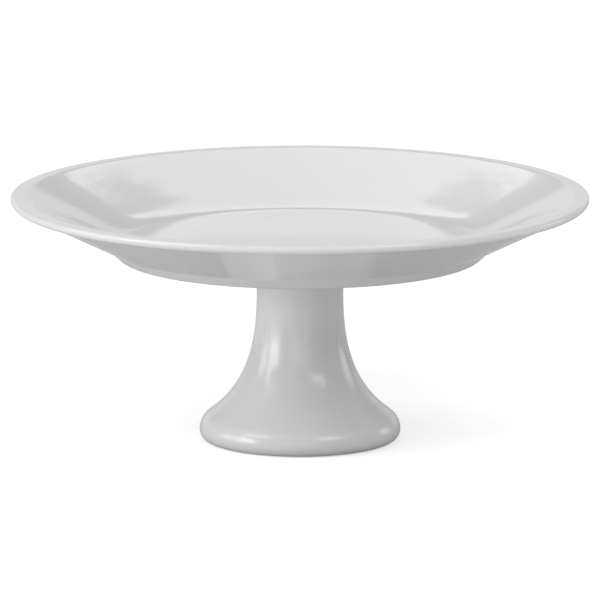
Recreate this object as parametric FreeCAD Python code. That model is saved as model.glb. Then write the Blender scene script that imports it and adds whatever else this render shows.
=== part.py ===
import FreeCAD, Part
import math
import os

# A two-piece porcelain cake stand: a wide plate drawn down onto a hollow pedestal by a concealed screw.
# Millimetres. +Z is up, the stand's axis is the Z axis, and the foot stands on z = 0.

# Driving dimensions of the whole stand
STAND_HEIGHT = 129.0
RIM_RADIUS = 150.0
FOOT_RADIUS = 52.4
COLUMN_RADIUS = 22.6

# Plate
DISH_DEPTH = 24.2
FLOOR_THICKNESS = 5.0
WALL_THICKNESS = 5.2
WALL_SLOPE = math.tan(math.radians(26.6))
LIP_HEIGHT = 4.5
LIP_OVERHANG = 5.6
LIP_OUTER_ROUNDING = 1.5
LIP_UNDER_ROUNDING = 2.8
LIP_NECK_ROUNDING = 5.0
LIP_SHOULDER_ROUNDING = 8.0
COVE_ROUNDING = 36.0
CREASE_RADIUS = 100.3
CREASE_ROUNDING = 1.0
FOOT_RING_HEIGHT = 2.9
FOOT_RING_OUTER_RADIUS = 94.4
FOOT_RING_INNER_RADIUS = 90.4
FOOT_RING_DRAFT = 1.4
FOOT_RING_ROUNDING = 1.2
FOOT_RING_ROOT_ROUNDING = 2.0
BOSS_RADIUS = 13.5
BOSS_LENGTH = 11.0
BOSS_ROUNDING = 1.5
SOCKET_RADIUS = 7.5
SOCKET_DEPTH = 10.2

# Pedestal
FOOT_LOWER_ROLL = 5.2
FOOT_UPPER_ROLL = 10.5
FLARE_ANGLE = math.radians(54.3)
FLARE_TOP = 77.0
FLARE_TOP_PULL = 26.6
FLARE_FOOT_PULL = 25.3
COLUMN_WALL = 5.6
INNER_FLARE_TOP = 68.4
INNER_FLARE_TOP_PULL = 6.0
INNER_FLARE_FOOT_PULL = 26.0
INNER_FLARE_FOOT_RADIUS = 40.5
INNER_FLARE_FOOT_HEIGHT = 13.0
CONTACT_INNER_RADIUS = 43.4
CONTACT_ROUNDING = 1.0
INNER_SHOULDER_ROUNDING = 5.0
MOUTH_ROUNDING = 0.8
WEB_TOP = 76.0
WEB_THICKNESS = 5.0
WEB_ROOT_ROUNDING = 2.5
WEB_HOLE_RADIUS = 4.5
WEB_HOLE_ROUNDING = 1.0

# Seat gasket
GASKET_FLANGE = 1.2
GASKET_FLANGE_RADIUS = 22.0
GASKET_SLEEVE_LENGTH = 6.0
GASKET_SLEEVE_ROUNDING = 0.6
GASKET_FIT_GAP = 0.15

# Screw joint
THREAD_RADIUS = 3.0
THREAD_GAP = 0.06
STUD_LENGTH = 45.0
STUD_CHAMFER = 0.6
INSERT_RADIUS = 5.5
INSERT_LENGTH = 9.4
INSERT_CROWN = 1.0
INSERT_GROOVES = 3
INSERT_GROOVE_DEPTH = 0.7
INSERT_GROOVE_WIDTH = 1.4
CUSHION_RADIUS = 12.0
CUSHION_THICKNESS = 2.0
CUSHION_HOLE_RADIUS = 3.4
WASHER_RADIUS = 9.0
WASHER_THICKNESS = 1.6
WASHER_HOLE_RADIUS = 3.2
WASHER_ROUNDING = 0.3
NUT_HUB_TOP_RADIUS = 6.5
NUT_HUB_END_RADIUS = 5.0
NUT_HUB_LENGTH = 8.0
NUT_HUB_ROUNDING = 0.7
WING_THICKNESS = 2.6
WING_REACH = 13.0
WING_LENGTH = 13.0
WING_TIP_WIDTH = 4.9
WING_TIP_DROP = 7.0
WING_TIP_ROUNDING = 3.5
WING_END_ROUNDING = 2.4
WING_SHOULDER_RADIUS = 7.5
WING_SHOULDER_DROP = 2.4
WING_SHOULDER_ROUNDING = 3.0
WING_CROTCH_RADIUS = 5.6
WING_CROTCH_DROP = 7.6
WING_CROTCH_ROUNDING = 1.5

# Heights and radii that follow from them
FLOOR_TOP = STAND_HEIGHT - DISH_DEPTH
FLOOR_UNDERSIDE = FLOOR_TOP - FLOOR_THICKNESS
FOOT_RING_BOTTOM = FLOOR_UNDERSIDE - FOOT_RING_HEIGHT
LIP_UNDERSIDE = STAND_HEIGHT - LIP_HEIGHT
LIP_NECK_RADIUS = RIM_RADIUS - LIP_OVERHANG
WALL_RISE = WALL_THICKNESS * math.hypot(1.0, WALL_SLOPE)
SEAT = FLOOR_UNDERSIDE - GASKET_FLANGE
BOSS_END = FLOOR_UNDERSIDE - BOSS_LENGTH
SOCKET_END = BOSS_END + SOCKET_DEPTH
STUD_TOP = BOSS_END + INSERT_LENGTH - INSERT_CROWN
BORE_RADIUS = COLUMN_RADIUS - COLUMN_WALL
WEB_UNDERSIDE = WEB_TOP - WEB_THICKNESS
WASHER_TOP = WEB_UNDERSIDE - CUSHION_THICKNESS
NUT_TOP = WASHER_TOP - WASHER_THICKNESS


def at(radius, height):
    """Point of an outline, which lies in the XZ plane."""
    return FreeCAD.Vector(radius, 0, height)


def rounded(corners):
    """Edges along (radius, height, rounding) corners, from the first corner to the last."""
    edges = []
    start = at(*corners[0][:2])
    for before, corner, after in zip(corners, corners[1:], corners[2:]):
        here = at(*corner[:2])
        rounding = corner[2]
        if rounding == 0:
            edges.append(Part.LineSegment(start, here).toShape())
            start = here
            continue
        back = (at(*before[:2]) - here).normalize()
        onward = (at(*after[:2]) - here).normalize()
        half_angle = back.getAngle(onward) / 2
        reach = rounding / math.tan(half_angle)
        middle = here + (back + onward).normalize() * (rounding / math.sin(half_angle) - rounding)
        edges.append(Part.LineSegment(start, here + back * reach).toShape())
        edges.append(Part.Arc(here + back * reach, middle, here + onward * reach).toShape())
        start = here + onward * reach
    edges.append(Part.LineSegment(start, at(*corners[-1][:2])).toShape())
    return edges


def loop(corners):
    """Edges of a closed outline, whose first corner stays sharp."""
    return rounded(corners + [corners[0]])


def curve(points):
    """Bezier edge through its first and last points, pulled towards the others."""
    bezier = Part.BezierCurve()
    bezier.setPoles([at(*point) for point in points])
    return bezier.toShape()


def roll(radius, height, size, first_angle, last_angle):
    """Arc about (radius, height) between two angles, in radians above the outward direction."""
    angles = (first_angle, (first_angle + last_angle) / 2, last_angle)
    ends = [at(radius + size * math.cos(angle), height + size * math.sin(angle)) for angle in angles]
    return Part.Arc(*ends).toShape()


def face(edges):
    """Flat face inside a closed run of edges."""
    return Part.Face(Part.Wire(edges))


def turned(edges):
    """Solid turned about the stand's axis."""
    return face(edges).revolve(FreeCAD.Vector(0, 0, 0), FreeCAD.Vector(0, 0, 1), 360)


def wall_underside(radius):
    """Height of the sloping wall's lower face."""
    return LIP_UNDERSIDE - (LIP_NECK_RADIUS - radius) * WALL_SLOPE


def wall_inside(height):
    """Radius of the sloping wall's upper face."""
    return LIP_NECK_RADIUS - (LIP_UNDERSIDE + WALL_RISE - height) / WALL_SLOPE


def make_plate():
    """Dish with a beaded lip, a foot ring and a socketed boss under its middle."""
    return turned(loop([
        (0, SOCKET_END, 0),
        (SOCKET_RADIUS, SOCKET_END, 0),
        (SOCKET_RADIUS, BOSS_END, 0),
        (BOSS_RADIUS, BOSS_END, BOSS_ROUNDING),
        (BOSS_RADIUS, FLOOR_UNDERSIDE, BOSS_ROUNDING),
        (FOOT_RING_INNER_RADIUS - FOOT_RING_DRAFT, FLOOR_UNDERSIDE, FOOT_RING_ROOT_ROUNDING),
        (FOOT_RING_INNER_RADIUS, FOOT_RING_BOTTOM, FOOT_RING_ROUNDING),
        (FOOT_RING_OUTER_RADIUS, FOOT_RING_BOTTOM, FOOT_RING_ROUNDING),
        (CREASE_RADIUS, wall_underside(CREASE_RADIUS), CREASE_ROUNDING),
        (LIP_NECK_RADIUS, LIP_UNDERSIDE, LIP_NECK_ROUNDING),
        (RIM_RADIUS, LIP_UNDERSIDE, LIP_UNDER_ROUNDING),
        (RIM_RADIUS, STAND_HEIGHT, LIP_OUTER_ROUNDING),
        (wall_inside(STAND_HEIGHT), STAND_HEIGHT, LIP_SHOULDER_ROUNDING),
        (wall_inside(FLOOR_TOP), FLOOR_TOP, COVE_ROUNDING),
        (0, FLOOR_TOP, 0),
    ]))


def make_pedestal():
    """Hollow flared column with a pierced web inside and a rolled foot."""
    shoulder_radius = FOOT_RADIUS - FOOT_UPPER_ROLL * (1 - math.cos(FLARE_ANGLE))
    shoulder_height = FOOT_LOWER_ROLL + FOOT_UPPER_ROLL * math.sin(FLARE_ANGLE)
    slope = (math.sin(FLARE_ANGLE), -math.cos(FLARE_ANGLE))
    inner_shoulder = INNER_FLARE_FOOT_HEIGHT - (
        (CONTACT_INNER_RADIUS - INNER_FLARE_FOOT_RADIUS) / math.tan(FLARE_ANGLE))
    web_middle = WEB_TOP - WEB_THICKNESS / 2

    top = rounded([
        (WEB_HOLE_RADIUS, web_middle, 0),
        (WEB_HOLE_RADIUS, WEB_TOP, WEB_HOLE_ROUNDING),
        (BORE_RADIUS, WEB_TOP, WEB_ROOT_ROUNDING),
        (BORE_RADIUS, SEAT, MOUTH_ROUNDING),
        (COLUMN_RADIUS, SEAT, MOUTH_ROUNDING),
        (COLUMN_RADIUS, FLARE_TOP, 0),
    ])
    outer_flare = curve([
        (COLUMN_RADIUS, FLARE_TOP),
        (COLUMN_RADIUS, FLARE_TOP - FLARE_TOP_PULL),
        (shoulder_radius - FLARE_FOOT_PULL * slope[0], shoulder_height - FLARE_FOOT_PULL * slope[1]),
        (shoulder_radius, shoulder_height),
    ])
    upper_roll = roll(FOOT_RADIUS - FOOT_UPPER_ROLL, FOOT_LOWER_ROLL, FOOT_UPPER_ROLL, FLARE_ANGLE, 0)
    lower_roll = roll(FOOT_RADIUS - FOOT_LOWER_ROLL, FOOT_LOWER_ROLL, FOOT_LOWER_ROLL, 0, -math.pi / 2)
    contact = rounded([
        (FOOT_RADIUS - FOOT_LOWER_ROLL, 0, 0),
        (CONTACT_INNER_RADIUS, 0, CONTACT_ROUNDING),
        (CONTACT_INNER_RADIUS, inner_shoulder, INNER_SHOULDER_ROUNDING),
        (INNER_FLARE_FOOT_RADIUS, INNER_FLARE_FOOT_HEIGHT, 0),
    ])
    inner_flare = curve([
        (INNER_FLARE_FOOT_RADIUS, INNER_FLARE_FOOT_HEIGHT),
        (INNER_FLARE_FOOT_RADIUS - INNER_FLARE_FOOT_PULL * slope[0],
         INNER_FLARE_FOOT_HEIGHT - INNER_FLARE_FOOT_PULL * slope[1]),
        (BORE_RADIUS, INNER_FLARE_TOP - INNER_FLARE_TOP_PULL),
        (BORE_RADIUS, INNER_FLARE_TOP),
    ])
    web_underside = rounded([
        (BORE_RADIUS, INNER_FLARE_TOP, 0),
        (BORE_RADIUS, WEB_UNDERSIDE, WEB_ROOT_ROUNDING),
        (WEB_HOLE_RADIUS, WEB_UNDERSIDE, WEB_HOLE_ROUNDING),
        (WEB_HOLE_RADIUS, web_middle, 0),
    ])
    return turned(top + [outer_flare, upper_roll, lower_roll] + contact + [inner_flare] + web_underside)


def make_seat_gasket():
    """Flange that the plate sits on, with a sleeve that centres the boss in the pedestal's mouth."""
    inside = BOSS_RADIUS + GASKET_FIT_GAP
    outside = BORE_RADIUS - GASKET_FIT_GAP
    easing = BOSS_ROUNDING + 2 * GASKET_FIT_GAP
    return turned(loop([
        (inside, SEAT - GASKET_SLEEVE_LENGTH, 0),
        (outside, SEAT - GASKET_SLEEVE_LENGTH, GASKET_SLEEVE_ROUNDING),
        (outside, SEAT, 0),
        (GASKET_FLANGE_RADIUS, SEAT, 0),
        (GASKET_FLANGE_RADIUS, FLOOR_UNDERSIDE, 0),
        (inside + easing, FLOOR_UNDERSIDE, 0),
        (inside, FLOOR_UNDERSIDE - easing, 0),
    ]))


def make_insert_blank():
    """Grooved plug that fills the middle of the socket, before its blind hole is bored."""
    band = INSERT_LENGTH / INSERT_GROOVES
    waist = INSERT_RADIUS - INSERT_GROOVE_DEPTH
    corners = [(0, BOSS_END, 0), (INSERT_RADIUS, BOSS_END, 0)]
    for number in range(INSERT_GROOVES):
        middle = BOSS_END + (number + 0.5) * band
        corners += [
            (INSERT_RADIUS, middle - INSERT_GROOVE_WIDTH / 2, 0),
            (waist, middle - INSERT_GROOVE_WIDTH / 2, 0),
            (waist, middle + INSERT_GROOVE_WIDTH / 2, 0),
            (INSERT_RADIUS, middle + INSERT_GROOVE_WIDTH / 2, 0),
        ]
    corners += [(INSERT_RADIUS, BOSS_END + INSERT_LENGTH, 0), (0, BOSS_END + INSERT_LENGTH, 0)]
    return turned(loop(corners))


def make_threaded_insert():
    """Grooved insert with a blind hole that takes the stud's top end."""
    hole = Part.makeCylinder(THREAD_RADIUS, STUD_TOP - BOSS_END, at(0, BOSS_END))
    return make_insert_blank().cut(hole)


def make_insert_cement():
    """Cement that fills the socket round and above the insert."""
    socket = Part.makeCylinder(SOCKET_RADIUS, SOCKET_DEPTH, at(0, BOSS_END))
    return socket.cut(make_insert_blank())


def make_stud():
    """Plain-bodied stud at the thread's outside size, eased at its lower end."""
    lower_end = STUD_TOP - STUD_LENGTH
    return turned(loop([
        (0, STUD_TOP, 0),
        (0, lower_end, 0),
        (THREAD_RADIUS - STUD_CHAMFER, lower_end, 0),
        (THREAD_RADIUS, lower_end + STUD_CHAMFER, 0),
        (THREAD_RADIUS, STUD_TOP, 0),
    ]))


def make_washer(hole_radius, radius, top, thickness, rounding):
    """Flat washer below a given height, with its outer edges rounded."""
    return turned(loop([
        (hole_radius, top, 0),
        (hole_radius, top - thickness, 0),
        (radius, top - thickness, rounding),
        (radius, top, rounding),
    ]))


def make_wing_nut():
    """Tapered hub with two rounded wings that reach down past it."""
    bore_radius = THREAD_RADIUS + THREAD_GAP
    hub = turned(loop([
        (0, NUT_TOP, 0),
        (NUT_HUB_TOP_RADIUS, NUT_TOP, NUT_HUB_ROUNDING),
        (NUT_HUB_END_RADIUS, NUT_TOP - NUT_HUB_LENGTH, NUT_HUB_ROUNDING),
        (0, NUT_TOP - NUT_HUB_LENGTH, 0),
    ]))
    wing = face(loop([
        (bore_radius, NUT_TOP - WING_SHOULDER_DROP, 0),
        (WING_SHOULDER_RADIUS, NUT_TOP - WING_SHOULDER_DROP, WING_SHOULDER_ROUNDING),
        (WING_REACH, NUT_TOP - WING_TIP_DROP, WING_TIP_ROUNDING),
        (WING_REACH, NUT_TOP - WING_LENGTH, WING_END_ROUNDING),
        (WING_REACH - WING_TIP_WIDTH, NUT_TOP - WING_LENGTH, WING_END_ROUNDING),
        (WING_CROTCH_RADIUS, NUT_TOP - WING_CROTCH_DROP, WING_CROTCH_ROUNDING),
        (bore_radius, NUT_TOP - WING_CROTCH_DROP, 0),
    ]))
    wing.translate(FreeCAD.Vector(0, WING_THICKNESS / 2, 0))
    wing = wing.extrude(FreeCAD.Vector(0, -WING_THICKNESS, 0))
    opposite = wing.copy()
    opposite.rotate(FreeCAD.Vector(0, 0, 0), FreeCAD.Vector(0, 0, 1), 180)
    bore = Part.makeCylinder(bore_radius, NUT_HUB_LENGTH, at(0, NUT_TOP - NUT_HUB_LENGTH))
    return hub.fuse([wing, opposite]).cut(bore).removeSplitter()


NODES = {
    "plate": make_plate(),
    "pedestal": make_pedestal(),
    "seat_gasket": make_seat_gasket(),
    "threaded_insert": make_threaded_insert(),
    "insert_cement": make_insert_cement(),
    "stud": make_stud(),
    "cushion_washer": make_washer(
        CUSHION_HOLE_RADIUS, CUSHION_RADIUS, WEB_UNDERSIDE, CUSHION_THICKNESS, CUSHION_THICKNESS / 4),
    "steel_washer": make_washer(
        WASHER_HOLE_RADIUS, WASHER_RADIUS, WASHER_TOP, WASHER_THICKNESS, WASHER_ROUNDING),
    "wing_nut": make_wing_nut(),
}

os.makedirs("parts", exist_ok=True)
for name, shape in NODES.items():
    shape.exportStep(os.path.join("parts", name + ".step"))
    box = shape.optimalBoundingBox(False)
    print(f"{name}: valid {shape.isValid()}, solids {len(shape.Solids)}, {shape.Volume / 1000:.2f} cm3, "
          f"z {box.ZMin:.2f} to {box.ZMax:.2f}, radius {box.XMax:.2f}")
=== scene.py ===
import math

import bmesh
import bpy
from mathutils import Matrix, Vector, noise


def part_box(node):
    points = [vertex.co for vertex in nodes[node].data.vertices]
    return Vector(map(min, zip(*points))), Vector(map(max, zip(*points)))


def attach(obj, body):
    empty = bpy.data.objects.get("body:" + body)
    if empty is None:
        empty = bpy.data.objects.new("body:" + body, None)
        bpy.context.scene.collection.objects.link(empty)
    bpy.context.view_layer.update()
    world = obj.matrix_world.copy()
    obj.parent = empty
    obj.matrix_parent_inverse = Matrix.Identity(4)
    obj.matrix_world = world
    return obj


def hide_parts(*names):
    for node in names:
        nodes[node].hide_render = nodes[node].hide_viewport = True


# Looks of a white porcelain cake stand and its concealed screw joint, in metres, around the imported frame.

# Camera: a long lens, 11 degrees above the horizontal
CAMERA_DISTANCE = 4.0
CAMERA_HEIGHT = 0.8492
CAMERA_PITCH = math.radians(10.98)
CAMERA_LENS = 470.4
CAMERA_REACH = 50.0

# Stage: a white floor that only the camera sees, and a table just under it that the camera doesn't see.
# The table gives the bounced light and is darker near the stand, a device to shade the plate's underside.
FLOOR_RADIUS = 14.0
TABLE_RADIUS = 3.0
TABLE_DROP = 0.0003
STAGE_STEPS = 96
FLOOR_WHITE = 0.92
FLOOR_GLOW = 0.45
TABLE_GREY = 0.84
TABLE_SHADE = 0.56
TABLE_SHADE_RADIUS = 0.12
TABLE_OPEN_RADIUS = 0.5
LIGHT_DISTANCE = 1.6
LIGHT_AIM_HEIGHT = 0.08
WORLD_LIGHT = 0.32

# Turned porcelain: how finely it is meshed
PLATE_STEPS = 240
PEDESTAL_STEPS = 160
TURN_PER_STEP = math.radians(4.0)
LONGEST_STEP = 0.005
GLAZE_LINE_STEP = 0.00012
GLAZE_LINE_REACH = 0.0004

# Turned porcelain: how firing and glazing leave it
GLAZE_THICKNESS = 0.00012
GLAZE_LINE_WANDER = 0.00008
FOOT_WIPED = 0.0004
FOOT_RING_WIPED = 0.0005
RIM_SAG = 0.0003
SAG_START_RADIUS = 0.06
SAG_END_RADIUS = 0.15
SAG_MEAN = 0.5
SAG_FOURFOLD = 0.35
SAG_THREEFOLD = 0.15
SAG_THREEFOLD_PHASE = 1.0
FITTED_RADIUS = 0.0221
FREE_RADIUS = 0.0226
RIPPLE_DEPTH = 0.00005
RIPPLE_LENGTH = 0.022

# Screw thread: 6 mm coarse. Its shape is a pitch's share along the axis, and 1 for crest or 0 for root.
THREAD_PITCH = 0.001
THREAD_DEPTH = 0.00061
THREAD_STEPS = 36
THREAD_SHAPE = ((0.0, 1.0), (0.13, 1.0), (0.44, 0.0), (0.69, 0.0))
THREAD_END_EASE = 0.0006

# Cast wing nut
CAST_VOXEL = 0.00028
CAST_SMOOTHING = 8

TINY = 1e-6
SHARP_ANGLE = math.radians(40.0)

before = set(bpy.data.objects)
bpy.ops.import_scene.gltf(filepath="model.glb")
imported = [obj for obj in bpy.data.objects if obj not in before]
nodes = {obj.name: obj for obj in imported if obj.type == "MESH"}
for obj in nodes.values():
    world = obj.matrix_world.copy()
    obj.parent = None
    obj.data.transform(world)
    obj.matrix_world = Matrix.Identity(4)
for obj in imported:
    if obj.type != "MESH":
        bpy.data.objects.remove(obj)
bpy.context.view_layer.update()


class Shader:
    """A material with a Principled shader, and short calls for the nodes that feed it."""

    def __init__(self, name):
        self.material = bpy.data.materials.new(name)
        self.material.use_nodes = True
        self.tree = self.material.node_tree
        self.surface = self.tree.nodes["Principled BSDF"]
        self.place = self.node("ShaderNodeTexCoord").outputs["Object"]

    def set(self, **values):
        """Sets the surface's own sockets, named with underscores for spaces."""
        for socket, value in values.items():
            self.surface.inputs[socket.replace("_", " ")].default_value = value

    def drive(self, **sources):
        """Links outputs to the surface's sockets, named with underscores for spaces."""
        for socket, source in sources.items():
            self.tree.links.new(source, self.surface.inputs[socket.replace("_", " ")])

    def node(self, kind, inputs=None, **settings):
        """Adds a node, sets its properties, and links or fills its inputs."""
        made = self.tree.nodes.new(kind)
        for name, value in settings.items():
            setattr(made, name, value)
        for socket, source in (inputs or {}).items():
            if isinstance(source, bpy.types.NodeSocket):
                self.tree.links.new(source, made.inputs[socket])
            else:
                made.inputs[socket].default_value = source
        return made

    def height(self):
        return self.node("ShaderNodeSeparateXYZ", {"Vector": self.place}).outputs["Z"]

    def stretched(self, x, y, z):
        """Object coordinates scaled along each axis."""
        return self.node("ShaderNodeMapping", {"Vector": self.place, "Scale": (x, y, z)}).outputs["Vector"]

    def noise(self, scale, detail=3.0, vector=None):
        inputs = {"Vector": vector or self.place, "Scale": scale, "Detail": detail}
        return self.node("ShaderNodeTexNoise", inputs).outputs["Fac"]

    def spots(self, scale):
        """Distance from the nearest of many scattered points, as a share of their spacing."""
        return self.node("ShaderNodeTexVoronoi", {"Vector": self.place, "Scale": scale}).outputs["Distance"]

    def math(self, operation, *values):
        return self.node("ShaderNodeMath", dict(enumerate(values)), operation=operation).outputs[0]

    def ranged(self, value, low, high, new_low, new_high):
        inputs = {"Value": value, "From Min": low, "From Max": high, "To Min": new_low, "To Max": new_high}
        return self.node("ShaderNodeMapRange", inputs).outputs[0]

    def mixed(self, factor, first, second):
        """Blend of two colours, each an output or red, green and blue; 6, 7 and 2 are the colour sockets."""
        inputs = {"Factor": factor}
        for socket, colour in ((6, first), (7, second)):
            inputs[socket] = (*colour, 1.0) if isinstance(colour, tuple) else colour
        return self.node("ShaderNodeMix", inputs, data_type="RGBA").outputs[2]

    def bump(self, height, strength, distance, under=None):
        """Bumped normal, on top of another one if given."""
        inputs = {"Height": height, "Strength": strength, "Distance": distance}
        if under:
            inputs["Normal"] = under
        return self.node("ShaderNodeBump", inputs).outputs["Normal"]


def porcelain(name, glaze_line, smoothest, roughest, ripples):
    """White glazed porcelain, with the bare matte body below the glaze line, a height in metres."""
    shader = Shader(name)
    wander = shader.ranged(shader.noise(260.0), 0.0, 1.0, -GLAZE_LINE_WANDER, GLAZE_LINE_WANDER)
    edge = shader.math("ADD", shader.height(), wander)
    bare = shader.ranged(edge, glaze_line, glaze_line + GLAZE_LINE_WANDER, 1.0, 0.0)

    cloud = shader.ranged(shader.noise(9.0, 4.0), 0.3, 0.7, 0.0, 1.0)
    glaze = shader.mixed(cloud, (0.835, 0.835, 0.84), (0.815, 0.82, 0.83))
    specks = shader.math("MULTIPLY", shader.ranged(shader.spots(70.0), 0.012, 0.02, 1.0, 0.0),
                         shader.ranged(shader.noise(31.0, 0.0), 0.62, 0.66, 0.0, 0.35))
    glaze = shader.mixed(specks, glaze, (0.42, 0.36, 0.3))
    stain = shader.ranged(shader.noise(120.0, 5.0), 0.35, 0.7, 0.0, 1.0)
    biscuit = shader.mixed(stain, (0.72, 0.7, 0.66), (0.6, 0.57, 0.53))
    smear = shader.ranged(shader.noise(55.0, 4.0), 0.3, 0.7, smoothest, roughest)
    roughness = shader.math("ADD", smear, shader.math("MULTIPLY", bare, 0.55))

    ripple = shader.bump(shader.noise(70.0, 1.0), ripples, 0.0006)
    peel = shader.bump(shader.noise(420.0, 2.0), 0.05, 0.0003, ripple)
    grain = shader.bump(shader.noise(2600.0, 2.0), shader.math("MULTIPLY", bare, 0.7), 0.0003, peel)
    shader.drive(Base_Color=shader.mixed(bare, glaze, biscuit), Roughness=roughness, Normal=grain)
    shader.set(IOR=1.6, Subsurface_Weight=0.12, Subsurface_Radius=(0.9, 0.8, 0.7), Subsurface_Scale=0.002)
    return shader.material


def silicone():
    """Milky silicone with a faint bloom."""
    shader = Shader("milky_silicone")
    bloom = shader.ranged(shader.noise(180.0, 5.0), 0.35, 0.7, 0.0, 1.0)
    shader.drive(
        Base_Color=shader.mixed(bloom, (0.74, 0.75, 0.74), (0.83, 0.84, 0.83)),
        Roughness=shader.ranged(bloom, 0.0, 1.0, 0.38, 0.6),
        Normal=shader.bump(shader.noise(1500.0, 3.0), 0.2, 0.0002),
    )
    shader.set(IOR=1.41, Subsurface_Weight=0.35, Subsurface_Radius=(1.0, 1.0, 1.0), Subsurface_Scale=0.0015)
    return shader.material


def turned_brass():
    """Brass with fine turning marks and tarnish in patches."""
    shader = Shader("turned_brass")
    tarnish = shader.ranged(shader.noise(420.0, 6.0), 0.4, 0.72, 0.0, 1.0)
    marks = shader.noise(1.0, 2.0, shader.stretched(60.0, 60.0, 9000.0))
    shader.drive(
        Base_Color=shader.mixed(tarnish, (0.82, 0.61, 0.29), (0.5, 0.34, 0.15)),
        Roughness=shader.ranged(tarnish, 0.0, 1.0, 0.24, 0.48),
        Normal=shader.bump(marks, 0.35, 0.0001),
    )
    shader.set(Metallic=1.0)
    return shader.material


def cement():
    """Grey setting cement with sand in it."""
    shader = Shader("setting_cement")
    sand = shader.noise(1900.0, 4.0)
    patch = shader.noise(300.0, 3.0)
    tone = shader.math("ADD", shader.math("MULTIPLY", sand, 0.6), shader.math("MULTIPLY", patch, 0.4))
    paleness = shader.ranged(tone, 0.35, 0.65, 0.0, 1.0)
    shader.drive(
        Base_Color=shader.mixed(paleness, (0.34, 0.33, 0.31), (0.6, 0.58, 0.54)),
        Roughness=shader.ranged(sand, 0.3, 0.7, 0.8, 0.98),
        Normal=shader.bump(sand, 0.7, 0.0002),
    )
    return shader.material


def zinc_plate(name, scratch_scale, grain_scale, grain_strength):
    """Zinc-plated steel with a passivated bloom, fine scratches and the grain of its making."""
    shader = Shader(name)
    bloom = shader.ranged(shader.noise(260.0, 5.0), 0.35, 0.7, 0.0, 1.0)
    scratch = shader.noise(1.0, 4.0, shader.stretched(*scratch_scale))
    roughness = shader.math("ADD", shader.ranged(bloom, 0.0, 1.0, 0.26, 0.42),
                            shader.ranged(scratch, 0.3, 0.7, -0.05, 0.08))
    under = shader.bump(scratch, 0.2, 0.0001)
    shader.drive(
        Base_Color=shader.mixed(bloom, (0.7, 0.72, 0.75), (0.6, 0.59, 0.53)),
        Roughness=roughness,
        Normal=shader.bump(shader.noise(grain_scale, 3.0), grain_strength, 0.0002, under),
    )
    shader.set(Metallic=1.0)
    return shader.material


def black_rubber():
    """Moulded black rubber with a dusty bloom."""
    shader = Shader("moulded_rubber")
    dust = shader.ranged(shader.noise(350.0, 6.0), 0.45, 0.75, 0.0, 1.0)
    shader.drive(
        Base_Color=shader.mixed(dust, (0.018, 0.018, 0.019), (0.06, 0.058, 0.055)),
        Roughness=shader.ranged(dust, 0.0, 1.0, 0.55, 0.82),
        Normal=shader.bump(shader.noise(2200.0, 3.0), 0.4, 0.0002),
    )
    return shader.material


def dress(thing, material):
    """Gives an object one material."""
    thing.data.materials.clear()
    thing.data.materials.append(material)


def seam_edges(mesh):
    """Edges of a turned mesh on the outward half of the XZ plane, with the surface normal at each end.

    Every curved face of a turned solid starts on that half-plane, so these edges are its outline.
    """
    edges = {}
    for polygon in mesh.polygons:
        loops = list(polygon.loop_indices)
        for pair in zip(loops, loops[1:] + loops[:1]):
            ends = [mesh.vertices[mesh.loops[loop].vertex_index].co for loop in pair]
            if all(abs(end.y) < TINY < end.x for end in ends):
                points = [(round(end.x, 7), round(end.z, 7)) for end in ends]
                normals = [mesh.corner_normals[loop].vector.copy() for loop in pair]
                edges[frozenset(points)] = dict(zip(points, normals))
    return edges


def outline(node):
    """Outline of a turned CAD node as (radius, height) points in order, its edges, and whether it closes."""
    edges = seam_edges(nodes[node].data)
    links = {}

    def link(first, second):
        links.setdefault(first, []).append(second)
        links.setdefault(second, []).append(first)

    for first, second in edges:
        link(first, second)
    # Flat faces have no seam: their two rims are loose ends at one height, and a lone end runs to the axis
    loose = sorted((point for point in links if len(links[point]) == 1), key=lambda point: point[::-1])
    while loose:
        first = loose.pop(0)
        flat = loose and abs(loose[0][1] - first[1]) < TINY
        link(first, loose.pop(0) if flat else (0.0, first[1]))

    on_axis = [point for point in links if point[0] == 0.0]
    path = [min(on_axis or links)]
    while True:
        onward = [point for point in links[path[-1]] if point not in path]
        if not onward:
            return path, edges, not on_axis
        path.append(onward[0])


def along_curve(start, start_slope, end, end_slope, share):
    """Point on the cubic curve between two ends with given slopes."""
    square, cube = share**2, share**3
    return (start * (2 * cube - 3 * square + 1) + start_slope * (cube - 2 * square + share)
            + end * (3 * square - 2 * cube) + end_slope * (cube - square))


def refined(node, glaze_line):
    """Outline of a turned CAD node as Vectors, its arcs and long runs divided, finest at the glaze line."""
    path, edges, closed = outline(node)
    points = []
    for here, there in zip(path, path[1:] + path[:1] if closed else path[1:]):
        start, end = Vector(here), Vector(there)
        chord = end - start
        slopes = [chord, chord]
        turn = 0.0
        normals = edges.get(frozenset((here, there)))
        if normals:
            slopes = []
            for point in (here, there):
                slope = Vector((-normals[point].z, normals[point].x)).normalized() * chord.length
                slopes.append(slope if slope.dot(chord) > 0 else -slope)
            turn = slopes[0].angle(slopes[1])
        low, high = sorted((start.y, end.y))
        by_glaze_line = low < glaze_line + GLAZE_LINE_REACH and high > glaze_line - GLAZE_LINE_REACH
        sloping = high - low > TINY and start.x > FREE_RADIUS
        longest = GLAZE_LINE_STEP if by_glaze_line and sloping else LONGEST_STEP
        count = max(1, math.ceil(turn / TURN_PER_STEP), math.ceil(chord.length / longest))
        points += [along_curve(start, slopes[0], end, slopes[1], step / count) for step in range(count)]
    if not closed:
        points.append(Vector(path[-1]))
    return points, closed


def smooth_step(value, low, high):
    """0 below low, 1 above high, and an even rise between."""
    share = min(max((value - low) / (high - low), 0.0), 1.0)
    return share * share * (3 - 2 * share)


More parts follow.
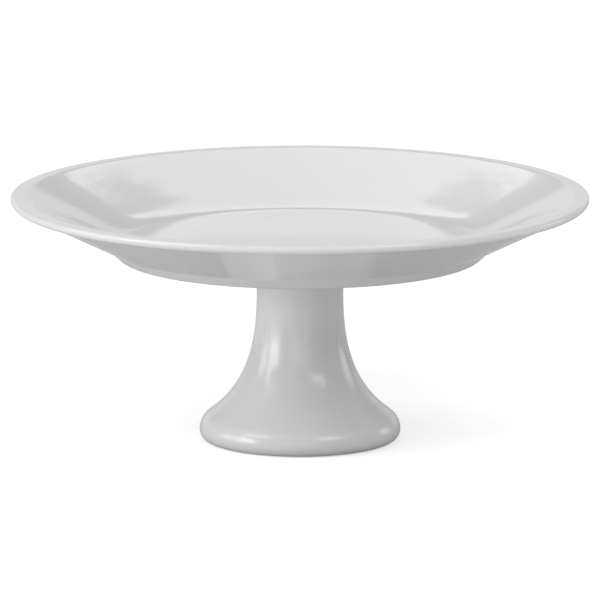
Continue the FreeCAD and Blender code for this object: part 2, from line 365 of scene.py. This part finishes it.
def fired(point, inward, angle, glaze_line, rim_sag):
    """Where a glazed and fired piece really has a point of its outline, at an angle round the axis.

    Glaze ripples and the missing glaze below the glaze line lie inside the nominal surface. A sagging
    rim moves down as a whole, so its underside comes out by the sag. Where the fittings go, the
    surface is exact.
    """
    place = Vector((point.x * math.cos(angle), point.x * math.sin(angle), point.y))
    ripple = RIPPLE_DEPTH * (0.5 + 0.5 * noise.noise(place / RIPPLE_LENGTH))
    bare = 1.0 - smooth_step(point.y, glaze_line - GLAZE_THICKNESS / 2, glaze_line + GLAZE_THICKNESS / 2)
    depth = ripple + (GLAZE_THICKNESS - ripple) * bare
    depth *= smooth_step(point.x, FITTED_RADIUS, FREE_RADIUS)
    lobes = SAG_MEAN - SAG_FOURFOLD * math.cos(4 * angle)
    lobes += SAG_THREEFOLD * math.cos(3 * angle + SAG_THREEFOLD_PHASE)
    sag = rim_sag * lobes * smooth_step(point.x, SAG_START_RADIUS, SAG_END_RADIUS)
    radius = point.x + inward.x * depth
    return radius * math.cos(angle), radius * math.sin(angle), point.y + inward.y * depth - sag


def turned_porcelain(name, node, steps, glaze_line, rim_sag):
    """Quad mesh of a turned CAD node with the slight unevenness of fired ware, standing in for that node."""
    points, closed = refined(node, glaze_line)
    count = len(points)
    area = sum(a.cross(b) for a, b in zip(points, points[1:] + points[:1]))
    side = 1.0 if area > 0 else -1.0
    angles = [2 * math.pi * step / steps for step in range(steps)]
    bm = bmesh.new()
    rings = []
    for index, point in enumerate(points):
        before = points[index - 1] if closed or index > 0 else point
        after = points[(index + 1) % count] if closed or index < count - 1 else point
        along = (after - before).normalized()
        inward = Vector((-along.y, along.x)) * side
        if point.x < TINY:
            rings.append([bm.verts.new((0.0, 0.0, point.y))] * steps)
            continue
        stands_on_table = point.y < TINY
        if stands_on_table:
            inward = Vector((0.0, 0.0))
        rings.append([bm.verts.new(fired(point, inward, angle, glaze_line, rim_sag)) for angle in angles])
    for first, second in zip(rings, rings[1:] + rings[:1] if closed else rings[1:]):
        for step in range(steps):
            following = (step + 1) % steps
            corners = [first[step], first[following], second[following], second[step]]
            bm.faces.new(list(dict.fromkeys(corners)))
    return finished(bm, name, node, "stand")


def finished(bm, name, node, body):
    """Makes the object of a bmesh, smooth with sharp edges kept, in place of a CAD node."""
    bmesh.ops.recalc_face_normals(bm, faces=bm.faces)
    mesh = bpy.data.meshes.new(name)
    bm.to_mesh(mesh)
    bm.free()
    mesh.shade_smooth()
    mesh.set_sharp_from_angle(angle=SHARP_ANGLE)
    piece = bpy.data.objects.new(name, mesh)
    bpy.context.scene.collection.objects.link(piece)
    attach(piece, body)
    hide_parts(node)
    return piece


def threaded_stud():
    """Stud with a real helical thread, eased at both ends, inside the plain CAD stud."""
    low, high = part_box("stud")
    radius = high.x
    turns = math.ceil((high.z - low.z) / THREAD_PITCH) + 2
    rows_per_turn = len(THREAD_SHAPE)
    bm = bmesh.new()
    rows = []
    for row in range(turns * rows_per_turn):
        share, crest = THREAD_SHAPE[row % rows_per_turn]
        ring = []
        for step in range(THREAD_STEPS):
            angle = 2 * math.pi * step / THREAD_STEPS
            rise = row // rows_per_turn - 1 + share + step / THREAD_STEPS
            height = min(max(low.z + THREAD_PITCH * rise, low.z), high.z)
            from_end = min(height - low.z, high.z - height)
            eased = radius - THREAD_END_EASE + min(from_end, THREAD_END_EASE)
            reach = min(radius - THREAD_DEPTH * (1 - crest), eased)
            if from_end == 0.0:
                reach = radius - THREAD_DEPTH
            ring.append(bm.verts.new((reach * math.cos(angle), reach * math.sin(angle), height)))
        rows.append(ring)
    # The last step of a row meets the start of the row one turn higher, if there is one
    for row in range(len(rows) - rows_per_turn):
        for step in range(THREAD_STEPS):
            following = (step + 1) % THREAD_STEPS
            met = row if following else row + rows_per_turn
            if met + 1 < len(rows):
                lower = [rows[row][step], rows[met][following]]
                bm.faces.new(lower + [rows[met + 1][following], rows[row + 1][step]])
    bmesh.ops.remove_doubles(bm, verts=bm.verts, dist=TINY)
    bmesh.ops.dissolve_degenerate(bm, dist=TINY, edges=bm.edges)
    loose = [vert for vert in bm.verts if not vert.link_faces]
    bmesh.ops.delete(bm, geom=loose, context="VERTS")
    bmesh.ops.holes_fill(bm, edges=[edge for edge in bm.edges if edge.is_boundary], sides=0)
    return finished(bm, "threaded_stud", "stud", "stand")


def cast_wing_nut():
    """Wing nut with the soft edges of a casting, from the CAD nut."""
    bm = bmesh.new()
    bm.from_mesh(nodes["wing_nut"].data)
    bmesh.ops.remove_doubles(bm, verts=bm.verts, dist=TINY)
    rough = bpy.data.meshes.new("wing_nut_blank")
    bm.to_mesh(rough)
    bm.free()
    blank = bpy.data.objects.new("wing_nut_blank", rough)
    bpy.context.scene.collection.objects.link(blank)
    remesh = blank.modifiers.new("remesh", "REMESH")
    remesh.mode = "VOXEL"
    remesh.voxel_size = CAST_VOXEL
    smooth = blank.modifiers.new("smooth", "SMOOTH")
    smooth.iterations = CAST_SMOOTHING
    smooth.factor = 0.5
    shaped = bpy.data.meshes.new_from_object(blank.evaluated_get(bpy.context.evaluated_depsgraph_get()))
    bpy.data.objects.remove(blank)
    bm = bmesh.new()
    bm.from_mesh(shaped)
    return finished(bm, "cast_wing_nut", "wing_nut", "nut")


def make_camera():
    data = bpy.data.cameras.new("camera")
    data.lens = CAMERA_LENS
    data.clip_end = CAMERA_REACH
    camera = bpy.data.objects.new("camera", data)
    camera.location = (0.0, -CAMERA_DISTANCE, CAMERA_HEIGHT)
    camera.rotation_euler = (math.pi / 2 - CAMERA_PITCH, 0.0, 0.0)
    bpy.context.scene.collection.objects.link(camera)
    bpy.context.scene.camera = camera


def make_disc(name, radius, height, material):
    """Round sheet of the stage."""
    angles = [2 * math.pi * step / STAGE_STEPS for step in range(STAGE_STEPS)]
    mesh = bpy.data.meshes.new(name)
    rim = [(radius * math.cos(angle), radius * math.sin(angle), height) for angle in angles]
    mesh.from_pydata(rim, [], [range(STAGE_STEPS)])
    disc = bpy.data.objects.new(name, mesh)
    bpy.context.scene.collection.objects.link(disc)
    dress(disc, material)
    return disc


def make_floor():
    """Plain white floor that only the camera sees, lit a little by itself so that it ends up white."""
    shader = Shader("floor_white")
    shader.set(
        Base_Color=(FLOOR_WHITE, FLOOR_WHITE, FLOOR_WHITE, 1.0), Roughness=0.9, Specular_IOR_Level=0.1,
        Emission_Color=(1.0, 1.0, 1.0, 1.0), Emission_Strength=FLOOR_GLOW)
    floor = make_disc("floor", FLOOR_RADIUS, 0.0, shader.material)
    floor.visible_diffuse = False
    floor.visible_glossy = False
    floor.visible_transmission = False
    floor.visible_shadow = False


def make_table():
    """Table that the camera doesn't see, for what the object gets and reflects from below."""
    shader = Shader("table_grey")
    radius = shader.node("ShaderNodeVectorMath", {0: shader.place}, operation="LENGTH").outputs["Value"]
    openness = shader.ranged(radius, TABLE_SHADE_RADIUS, TABLE_OPEN_RADIUS, 0.0, 1.0)
    shader.drive(Base_Color=shader.mixed(openness, (TABLE_SHADE,) * 3, (TABLE_GREY,) * 3))
    shader.set(Roughness=0.9, Specular_IOR_Level=0.1)
    table = make_disc("table", TABLE_RADIUS, -TABLE_DROP, shader.material)
    table.visible_camera = False


def make_light(name, azimuth, elevation, width, height, power):
    """Soft panel aimed at the stand; azimuth 0 is the camera's side and 90 its right, in degrees."""
    data = bpy.data.lights.new(name, "AREA")
    data.shape = "RECTANGLE"
    data.size = width
    data.size_y = height
    data.energy = power
    light = bpy.data.objects.new(name, data)
    around, up = math.radians(azimuth), math.radians(elevation)
    light.location = (
        LIGHT_DISTANCE * math.sin(around) * math.cos(up),
        -LIGHT_DISTANCE * math.cos(around) * math.cos(up),
        LIGHT_DISTANCE * math.sin(up) + LIGHT_AIM_HEIGHT,
    )
    light.rotation_euler = (math.pi / 2 - up, 0.0, around)
    light.visible_camera = False
    bpy.context.scene.collection.objects.link(light)


def make_world():
    world = bpy.data.worlds.new("world")
    world.use_nodes = True
    background = world.node_tree.nodes["Background"]
    background.inputs["Color"].default_value = (1.0, 1.0, 1.0, 1.0)
    background.inputs["Strength"].default_value = WORLD_LIGHT
    bpy.context.scene.world = world
    bpy.context.scene.view_settings.view_transform = "Standard"


ring_bottom = min(point[1] for point in outline("plate")[0] if point[0] > SAG_START_RADIUS)
plate_glaze_line = ring_bottom + FOOT_RING_WIPED
plate = turned_porcelain("porcelain_plate", "plate", PLATE_STEPS, plate_glaze_line, RIM_SAG)
dress(plate, porcelain(
    "plate_porcelain", plate_glaze_line, smoothest=0.07, roughest=0.13, ripples=0.16))
pedestal = turned_porcelain("porcelain_pedestal", "pedestal", PEDESTAL_STEPS, FOOT_WIPED, 0.0)
dress(pedestal, porcelain(
    "pedestal_porcelain", FOOT_WIPED, smoothest=0.16, roughest=0.24, ripples=0.28))

dress(threaded_stud(), zinc_plate(
    "plated_stud", scratch_scale=(900.0, 900.0, 60.0), grain_scale=3000.0, grain_strength=0.15))
dress(cast_wing_nut(), zinc_plate(
    "plated_casting", scratch_scale=(700.0, 700.0, 700.0), grain_scale=1100.0, grain_strength=0.5))
dress(nodes["steel_washer"], zinc_plate(
    "plated_washer", scratch_scale=(120.0, 2400.0, 120.0), grain_scale=2500.0, grain_strength=0.2))
dress(nodes["seat_gasket"], silicone())
dress(nodes["threaded_insert"], turned_brass())
dress(nodes["insert_cement"], cement())
dress(nodes["cushion_washer"], black_rubber())

make_camera()
make_floor()
make_table()
make_world()
make_light("front_left", -60, 45, 0.7, 0.6, 4.8)
make_light("front_right", 40, 42, 0.8, 0.8, 6.6)
make_light("front_low", 0, 12, 1.2, 0.5, 1.6)
make_light("left_front_low", -60, 10, 0.5, 0.5, 3.8)
make_light("left_low", -90, 10, 0.5, 0.5, 2.0)
make_light("left_strip", -72, 14, 0.28, 1.0, 2.8)
make_light("right_back_low", 115, 10, 0.5, 0.5, 1.4)
make_light("back_panel", 180, 49, 0.7, 1.1, 3.2)
make_light("back_sweep", 180, 9, 2.6, 0.5, 1.8)
